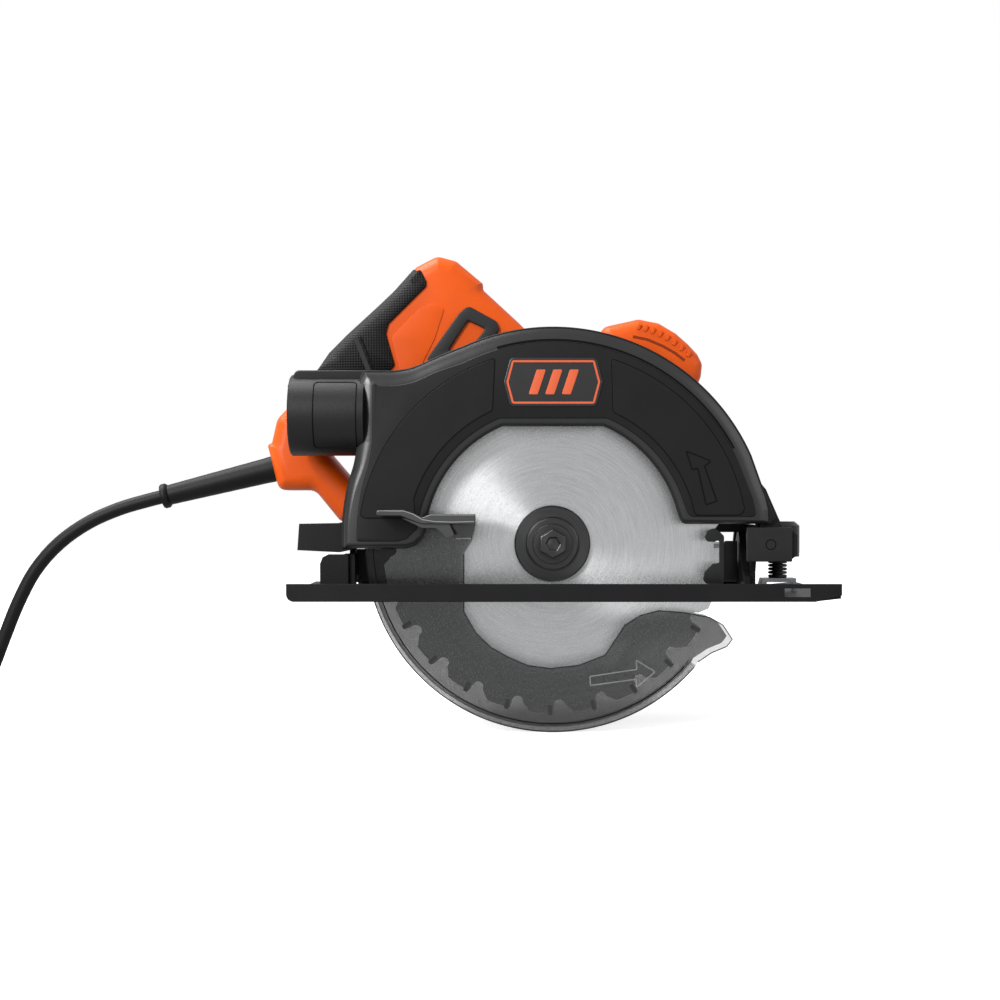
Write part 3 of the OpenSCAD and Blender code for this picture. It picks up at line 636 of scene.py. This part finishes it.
def guard_line(g=0.0, f=0.0, low=None):
    """The guard's outline, clockwise from its lower left corner, moved in by g, and out by f at the pivot.

    The lobes' lower ends are raised by low, or by g where low isn't given."""
    up = g if low is None else low
    side = flowing([(-115.7 + g, LOW_LEFT + up), (-115.2 + g, 45), (-112.8 + g, 61), (-109 + g, 74),
                    (-107 + g, 86)])
    slope = flowing([(-104 + g, 125 - g), (-95, 125 - g), (-86, 125.1 - g), (-78, 126.5 - g), (-71.4, 129 - g),
                     (-63, 132.8 - g), (-54 + g * 0.3, 136.6 - g)])
    top = arc(0, ARBOR, GUARD_R - g, 114.5, 24, 90)
    right = [(114.8 - g, 61.2), (117.2 - g + 0.4 * f, 55), (118.6 - g + 1.4 * f, 49)]
    if f:
        right += [(GUARD_R - g + 2.8 * f, 44.5), (118 - g + f, LOW_RIGHT + up)]
    else:
        right += [(118.9 - g, 41.9 + up), (117.6 - g, LOW_RIGHT + up)]
    return side + [(-107 + g, 118)] + slope + top + right


def window_line(r, flat, low):
    """The inner edge from the right lobe round to the left lobe, with the lobes' corners rounded."""
    a = math.degrees(math.asin((flat - ARBOR) / r))
    z_r, z_l = LOW_RIGHT + low, LOW_LEFT + low
    x_l = -math.sqrt(r * r - 61)
    return ([(math.sqrt(r * r - (z_r - ARBOR) ** 2) + 1, z_r, 4.4)]
            + arc(0, ARBOR, r, math.degrees(math.asin((z_r + 8 - ARBOR) / r)), a, 20)
            + arc(0, ARBOR, r, 180 - a, 180 - math.degrees(math.asin((37.8 - ARBOR) / r)), 20)
            + [(x_l - 1.8, z_l + 5.4), (x_l - 5.6, z_l + 1.5), (x_l - 10.5, z_l)])


def c_shape(g, r, flat, low):
    """The guard's outline moved in by g, with a window of radius r that is flat at the top."""
    return rounded([*guard_line(g, 0, low), *window_line(r, flat, low)], 2.0)


KNOB_TOP = 58.5
BAND_TAIL = [(-70, 124), (-84, 122), (-100, 122), (-104, 116), (-104, 86), (-106, 74), (-109.8, 61),
             (-112.2, 45), (-112.7, 27.3)]


def above_knob(loop):
    """The part of the guard's outline that stays clear of the fence clamp's knob when the saw is raised."""
    return [p for p in loop if p[1] > KNOB_TOP or p[0] < 100]


LUG = [(113.5, 41.5), (104.9, 41.5), (103.6, 51), (100.6, 62), (112, 66), (117, 60), (124, 44), (130.3, 31)]
guard_parts = [
    plate("band", [*guard_line(0, 1), *arc(0, ARBOR, BAND_IN_R, 5.3, 118, 50), *BAND_TAIL],
          -43.5, -21.6, 0.8, *GUARD),
    plate("band_back", [*above_knob(guard_line(0)), (115.4, KNOB_TOP),
                        *arc(0, ARBOR, BAND_IN_R, 14.2, 118, 48), *BAND_TAIL], -21.6, -14, 0.8, *GUARD),
    plate("back_wall", [*above_knob(guard_line(0.5)), (115, KNOB_TOP), (108, KNOB_TOP), (108, 36), (72, 36),
                        (72, 36.1), (-70, 36.1), (-70, 27.5)], -17, -14, 0.6, *GUARD,
          holes=[arc(0, 55, 24, 0, 360, 48)[:-1]]),
    plate("lug", [*LUG, *arc(*PIVOT, 9, 0, -180, 18)], -40.6, -24.4, 0.6, *GUARD),
]
guard_band = merged("guard_band", guard_parts, *GUARD)
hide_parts("upper_guard")
SLOPE_R = 14.4  # the shoulder is part of a circle, from 35 to 5 degrees off its top


def slope_weight(x, z):
    """The shoulder is wide along the guard's outer edge and narrow beside the window."""
    if math.hypot(x, z - ARBOR) < 95 or z < 42.5:
        return 0.42
    return 1.0 if x > 0 else 0.42 + 0.58 * min(1, (z - 42.5) / 50)


slope_line = [(0, -43.4)]
for degrees in range(35, 0, -5):
    a = math.radians(degrees)
    slope_line.append((SLOPE_R * (math.sin(math.radians(35)) - math.sin(a)),
                       -47 + SLOPE_R * (math.cos(math.radians(5)) - math.cos(a))))
lofted("guard_shoulder", c_shape(1.3, WINDOW_R, 94.3, 0.3), [], slope_line, *GLOSS, sharp=50,
       weight=slope_weight)
lofted("guard_face", c_shape(8.6, 74.5, 98.5, 4.2), [], [(0, -45.4), (0, -47.5), (0.35, -47.9), (0.8, -48)],
       *GUARD)
PANELS = {
    "left": [*arc(0, ARBOR, 106, 107.5, 171.5, 40), (-102.5, 44.3, 2), (-75.2, 44.3, 2),
             *arc(0, ARBOR, 80, 162, 114.5, 24)],
    "right": [*arc(0, ARBOR, 105.6, 72.4, 13, 40), (104, 48.6, 3), (101.4, 45.9, 3), (78, 45.9, 3),
              *arc(0, ARBOR, 79, 12.6, 65.6, 24)],
}

# Black strips round each panel paint the shade in its groove.
for side, points in PANELS.items():
    loop = rounded(points, 2.5)
    lofted("guard_panel_" + side, loop, [], [(0, -47), (0, -48.1), (0.3, -48.3)], *GUARD)
    stroke("panel_groove_shade_" + side, loop[::2], 0.8, -48.16, -47.5, *GUARD_DARK_LINE)
# A black strip paints the shade in the groove between the shoulder and the face.
stroke("guard_groove_shade", arc(0, ARBOR, 111.4, 106, 28, 60), 0.8, -47.9, -47, *GUARD_DARK_LINE, closed=False)
stroke("guard_arrow", rounded([(72.2, 80.8), (85.8, 75.3), (82.2, 72.5), (88.9, 53.5), (83, 51.5), (78.5, 71.5),
                               (75.5, 70.6)], 0.6), 0.6, -48.5, -48.1, *GUARD_DARK_LINE)
BADGE_OUT = [(-27, 118.2), (-23.5, 131.5, 3), (23.5, 131.5, 3), (27, 118.2), (23.5, 105, 3), (-23.5, 105, 3)]
plate("badge_plate", rounded(BADGE_OUT, 3), -48.7, -47, 0.5, *BADGE_FIELD)
badge_ring = stroke("badge_frame", inset(rounded(BADGE_OUT, 3)[::-1], 2.0), 1.1, -49.0, -48.5, *BADGE)
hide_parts("front_badge")
for k in range(3):
    x = -9 + 9 * k
    plate("badge_bar_%d" % k, rounded([(x - 4.5, 111.5), (x + 0.5, 111.5), (x + 5, 125), (x, 125)], 0.8), -48.95,
          -48.5, 0.15, *BADGE)

port = [(PORT_R, 0), (PORT_R, 40), (PORT_BORE_R, 40), (PORT_BORE_R, -1.2), (21.6, -1.2), (PORT_R, -0.4)]
lathe("dust_port", port, (-143.4, PORT_Y, PORT_Z), (1, 0, 0), *PORT_SKIN, steps=96)
plate("port_top", rounded([(-146.2, 116), (-141, 125.4, 3), (-96, 125.4), (-96, 116)], 1), -40, -20, 1.0,
      *PORT_SKIN)


def on_port(x, z):
    """A point on the port's skin, from its place along the port and the height of its arc."""
    a = z / PORT_R
    return (x, PORT_Y - PORT_R * math.cos(a), PORT_Z + PORT_R * math.sin(a))


# The line round the port's label, with a point every two millimetres so that it lies on the skin.
label = rounded([(-130.5, -21.6), (-107.2, -21.6), (-107.2, 20), (-130.5, 20)], 3, 6)
fine = []
for p, q in zip(label, label[1:] + label[:1]):
    steps = max(1, int(math.dist(p, q) / 2))
    fine += [(p[0] + (q[0] - p[0]) * i / steps, p[1] + (q[1] - p[1]) * i / steps) for i in range(steps)]
wire("port_label_line", [on_port(*p) for p in fine], 0.35, *GUARD_DARK_LINE)

# ---- Lower guard, lever ----
LOW = [(-48.8, 24.5), (-48.8, -7.2), (-42.2, -18.7), (-34, -26.6), (-24.6, -31.9), (-13.6, -36.6), (-1.6, -38.2),
       (14, -36.5), (28.5, -30.9), (34.5, -22), (39.5, -14.4), (47.8, -9.2), (57.8, -6.5), (72, -7.6),
       (85.9, -10.2), (93.1, -14.3), (98.3, -22.2, 1), (95.3, -26.1), (87.1, -29.5), (79.5, -34.6)]
low_arc = arc(0, ARBOR, LOWER_R, -40.5, -188.5, 90)
low_loop = rounded([*LOW, *low_arc, (-100, 44, 1), (-60, 44), (-42, 44, 1), (-41.9, 41.7), (-44.3, 32)], 1.2, 3)
front_wall = plate("guard_lower_front", low_loop, -42, -39.6, 0.5, *SMOKED)
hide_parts("lower_guard")
# A black strip along the lower guard's outer edge is painted shade.
stroke("guard_lower_edge", arc(0, ARBOR, 102.7, -41, -188, 90), 0.6, -42.25, -41.9, *SMOKED_SHADE_LINE,
       closed=False)
rim_band = [*low_arc, *arc(0, ARBOR, LOWER_IN_R, -188.5, -40.5, 90)]
plate("guard_lower_rim", rim_band, -39.6, -20.4, 0.2, *SMOKED)
plate("guard_lower_back", rounded([*LOW[3:], *low_arc, (-100, 42), (-10, 42), (-10, 18), (-48.8, 10),
                                   (-48.8, -7.2)], 1.2, 3), -20.4, -18.2, 0.4, *SMOKED_BACK)
# A black strip along the bead is painted shade.
stroke("guard_lower_bead", arc(0, ARBOR, 98.4, -43, -184, 90), 0.55, -42.3, -42, *SMOKED_SHADE_LINE,
       closed=False)
stroke("guard_lower_lip", LOW, 0.7, -42.5, -42, *SMOKED_EDGE, closed=False)
# The arrow on the lower guard: its outline is a painted highlight, drawn in the light edge metal.
LOW_ARROW = [(20.6, -47.4), (20.2, -42.5), (46, -38.6), (45.5, -33.5), (56, -40), (45.5, -48.6), (45.6, -44)]
stroke("guard_lower_arrow", rounded(LOW_ARROW, 0.5), 0.55, -42.45, -42, *SMOKED_PAINTED_HIGHLIGHT)
LEVER = [(-95, 48.6, 1), (-81.4, 49), (-76, 47.4), (-70.6, 44.7), (-66, 46.6), (-42, 46.6, 0.8),
         (-42, 41.2, 0.5), (-62, 41.2), (-66, 41.4), (-70.6, 41.3), (-76, 43.2), (-82, 45.6), (-95, 45.7, 1)]
lever = plate("lever_arm", rounded(LEVER, 2), -63.9, -49, 0.9, *LEVER_SKIN)
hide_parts("guard_lever")
BRACE = [(-84.6, 45.8), (-70.6, 41.5), (-56, 41.5), (-53.5, 35), (-57.5, 33.2), (-63, 39), (-70.6, 39)]
plate("lever_brace", rounded(BRACE, 1), -62, -60.5, 0.4, *LEVER_SKIN)
plate("lever_foot", rounded([(-60, 43.9), (-42, 43.9), (-42, 41.7), (-44.3, 33), (-53.3, 32.9)], 1), -50, -42,
      0.6, *LEVER_SKIN)
# Painted highlights: light strips along the lever's arm, top and foot, where its edges catch the light.
ARM_HIGHLIGHT_LINE = [(-93.6, 48.3), (-80.4, 48.2), (-75.4, 46.5), (-70.4, 43.6), (-64, 42.6), (-54.4, 42.3),
            (-42.8, 42.6)]
stroke("lever_highlight_arm", ARM_HIGHLIGHT_LINE, 0.45, -64.05, -63.6, *SMOKED_PAINTED_HIGHLIGHT, closed=False)
stroke("lever_highlight_top", [(-66.2, 46.1), (-42.8, 46.1)], 0.4, -64.05, -63.6, *SMOKED_PAINTED_HIGHLIGHT, closed=False)
stroke("lever_highlight_foot", [(-53, 33.2), (-44.8, 33.3)], 0.6, -50.3, -49.8, *SMOKED_PAINTED_HIGHLIGHT, closed=False)

# ---- Blade clamp ----
flange = lathe("flange_turned", [(5.1, -30.8), (20.4, -30.8), (21, -31.4), (21, -33.2), (20.2, -34), (14.8, -34),
                                 (14.4, -34.4), (14.2, -35.6), (13.6, -36), (5.1, -36)], *AXLE, *CLAMP, steps=96)
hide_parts("outer_flange")
lathe("bolt_washer", [(3, -36), (10.6, -36), (11, -36.4), (11, -37.2), (10.6, -37.6), (3, -37.6)], *AXLE,
      *CLAMP, steps=64)
hexagon = arc(0, ARBOR, 8.4, 90, 450, 6)[:-1]
socket = arc(0, ARBOR, 3.5, 0, 360, 6)[:-1]
head = lofted("bolt_head", rounded(hexagon, 0.8), [rounded(socket, 0.3)],
              [(0, -37.6), (0, -42.4), (0.5, -43.2), (0.9, -43.4)], *CLAMP, sharp=25)
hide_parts("arbor_bolt")
plate("bolt_socket_floor", arc(0, ARBOR, 4.6, 0, 360, 24)[:-1], -42.4, -38, 0.2, *CLAMP)

# ---- Front bracket ----
HOOK = [(88, 38.8), (84, 37.2), (82.8, 33.9), (84.3, 31.4), (88, 31.2), (90.8, 32.2), (90.8, 19.7), (87, 19.2),
        (82.6, 14.8), (82, 10.4), (83.7, 8.3), (93.5, 8.3), (93.5, 34.4), (90.8, 37.1)]
plate("front_hook", rounded(HOOK, 1.6), -44.2, -43.0, 0.3, *BRACKET)

plate("front_block", rounded([(105.6, 20.4), (130.4, 20.4), (130.4, 39.2), (105.6, 39.2)], 0.8), -46.1, -44.1,
      0.4, *BRACKET)
stroke("block_boss", arc(118.7, 29.8, 2.7, 0, 360, 24)[:-1], 0.5, -46.25, -45.9, *BRACKET_DARK_LINE)
plate("front_panel", rounded([(95.8, 8), (105.3, 8), (105.3, 31), (98, 31)], 1), -13, -11.8, 0.3, *BRACKET)

# ---- Handle ----
HANDLE = [(-77.5, 187.9, 3), (-65, 194.4, 7), (-54.2, 191.5), (-38.8, 178.6, 2), (-38.6, 174.9, 2),
          (-17.9, 155.8, 6), (8, 130, 8), (14, 96, 8), (-30, 52, 8), (-50, 42, 6), (-110, 38, 8), (-121.3, 42.5),
          (-135.3, 59.7, 8), (-156.2, 59.7, 6), (-162.8, 85.8, 3), (-160.3, 87, 1), (-157.2, 100.6, 8),
          (-80.4, 182.4)]
HAND_HOLE = [(-128, 82, 4), (-93, 115, 5), (-77, 118), (-70, 117, 5), (-60, 108, 6), (-58, 66, 6), (-64, 58, 4),
             (-104, 58, 4), (-110, 61, 2)]
handle_loop = rounded(HANDLE, 6)
hand_hole = rounded(HAND_HOLE, 4)
shell_side = [(0, HANDLE_Y), (0, 4), (0.6, 0.6), (2, -2.2), (4.2, -4.4), (6.6, -5.6), (9, -6)]
right = lofted("handle_shell_right", handle_loop, [hand_hole], shell_side, *ORANGE, sharp=60)
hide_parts("handle_right")
left = lofted("handle_shell_left", handle_loop, [hand_hole], [(d, 2 * HANDLE_Y - y) for d, y in shell_side],
              *ORANGE, sharp=60)
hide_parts("handle_left")
COVER = [(-78.6, 187.4, 2), (-74, 185.5), (-70.4, 179, 3), (-70.4, 175.5, 3), (-92, 154, 4), (-93.3, 148.8, 4),
         (-88.2, 130.6, 3), (-124, 93, 3), (-138, 110, 2), (-133.6, 128.3), (-127.7, 138.7), (-117.3, 149.2),
         (-108.6, 157.2), (-98.8, 166.2), (-90, 174.6)]
cover_side = [(0, 18), (0.05, 6), (0.6, 1), (2, -3), (4, -5.8), (6.4, -7.2), (9, -7.7)]
cover_loop = rounded(COVER, 2)


def rear_edge(x, z):
    """Full rounding on the grip's rear edge, and a small one where the rubber meets the shell."""
    off = (z - 188) - (x + 77.9) * 1.0156  # height over the line of the rear edge
    return 1.0 if off > -2.5 else 0.12


cover = lofted("grip_sleeve", cover_loop, [], [(d, 2 * HANDLE_Y - y) for d, y in cover_side[::-1]]
               + cover_side[1:], *GRIP, sharp=60, weight=rear_edge)
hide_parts("grip_cover")
stroke("grip_rib", [(-111.2, 146.5), (-109.2, 141.5), (-103.4, 127), (-100.4, 119)], 2.6, -8.2, -6, *GRIP_SMOOTH,
       closed=False)
# The groove beside the rib is a black strip: painted shade.
stroke("grip_groove", [(-108.4, 147), (-106.4, 142.5), (-100.4, 127.6), (-97.4, 120)], 0.9, -7.8, -6, *GRIP_GROOVE_SHADE,
       closed=False)
plate("handle_facet", rounded([(-88.6, 149.4), (-75, 163), (-66.5, 166.6), (-60.5, 163.2), (-66, 146),
                               (-77, 124), (-86.4, 128), (-91, 146)], 2), -6.45, -5.2, 0.35, *ORANGE)
INLAY = [(-71.9, 132.8), (-52, 160.5, 4), (-47.2, 164.7, 4), (-31.2, 155.9, 3), (-29, 151.6, 3), (-44, 128)]
band = plate("inlay_band", rounded(INLAY, 3), -8.2, -5.5, 0.7, *GRIP_SMOOTH,
             holes=[rounded([(-58.5, 139), (-47.2, 156.2, 1.2), (-37.3, 151.4, 1.2), (-47, 139)], 1)])
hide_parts("side_inlay")
FRONT = [(16, 122, 6), (30.7, 154, 6), (50.6, 158.4), (62.3, 156.1), (72.2, 150.2), (79.3, 144), (84.8, 138.1),
         (87.7, 132.3), (86.9, 124.9), (80, 108), (62, 92), (36, 84), (20, 100)]
front_hole = rounded([(38, 128), (46, 134), (56, 132), (64, 124), (62, 113), (54, 106), (44, 108)], 4)
front = lofted("front_grip", rounded(FRONT, 6), [front_hole], [(7, 48), (4, 47), (1.6, 44.6), (0.4, 41), (0, 36),
                                                               (0, 8), (0.4, 3), (1.6, -0.6), (4, -3), (7, -4)],
               *ORANGE, sharp=60)
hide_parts("front_handle")
# The slot is a strip of darker orange: painted shade in the recess.
stroke("front_slot", [(47, 147.4), (55, 145.8), (64, 142), (71, 138), (76.4, 133.8)], 1.5, -4.15, -3,
       *SLOT_SHADE_ORANGE, closed=False)
# Eight short ribs along the front handle's upper edge.
for k in range(8):
    t = k / 7
    x, z = 50.5 + 28.5 * t, 153.4 - 5 * t - 10.5 * t * t
    stroke("front_rib_%d" % k, [(x - 0.9, z - 1.9), (x + 0.7, z + 1.3)], 1.7, -4.6, -1, *ORANGE, closed=False)

# ---- Everything carried over from the CAD ----
SLOT_OF = {p["node"]: p["material_slot"] for p in frame["record"]["subparts"]}
DARK = ["depth_pivot_pin", "fence_clamp_screw", "fence_clamp_spring", "shoe_rivets", "depth_clamp_bolt"]
for name, node in frame["nodes"].items():
    look = dark_steel if name in DARK else FINISH[SLOT_OF[name]]
    for k in node.material_slots:
        k.material = look.mat
